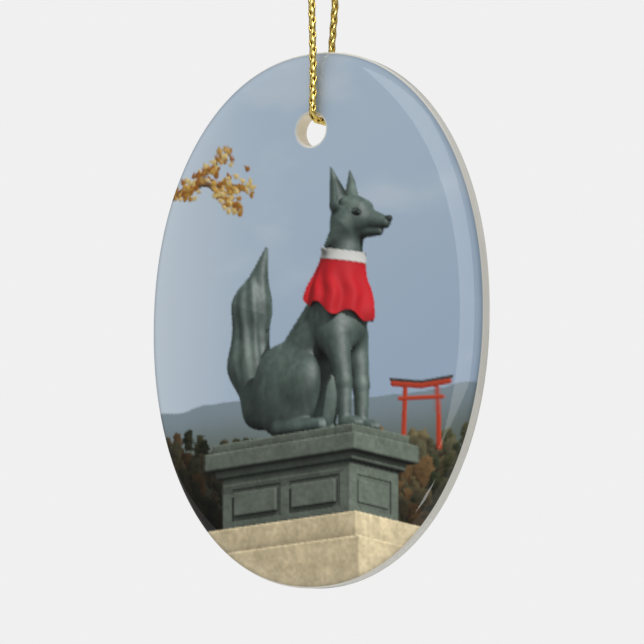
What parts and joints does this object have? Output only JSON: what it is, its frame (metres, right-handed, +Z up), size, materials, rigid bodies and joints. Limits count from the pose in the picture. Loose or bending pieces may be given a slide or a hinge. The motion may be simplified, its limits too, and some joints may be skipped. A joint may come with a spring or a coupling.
{
  "type": "hanging ceramic ornament",
  "caption": "Flat oval glazed porcelain ornament with a printed front and a round hole, hung by a loop of gold cord that ends in a knot.",
  "frame": {"origin": "inside the top of the cord's loop, under its knot, where a hook bears", "axes": "+Z up along the disc's height, the printed front faces -Y, +X to the right of someone who looks at the front"},
  "size_m": [0.066, 0.0088, 0.1273],
  "materials": {
    "glazed_porcelain": "glossy glazed white porcelain, with a printed picture under the glaze on the front",
    "gold_cord": "braided metallic gold thread"
  },
  "bodies": {
    "root": {"ceramic_disc": "glazed_porcelain", "hanging_cord": "gold_cord", "cord_knot": "gold_cord"}
  },
  "joints": []
}
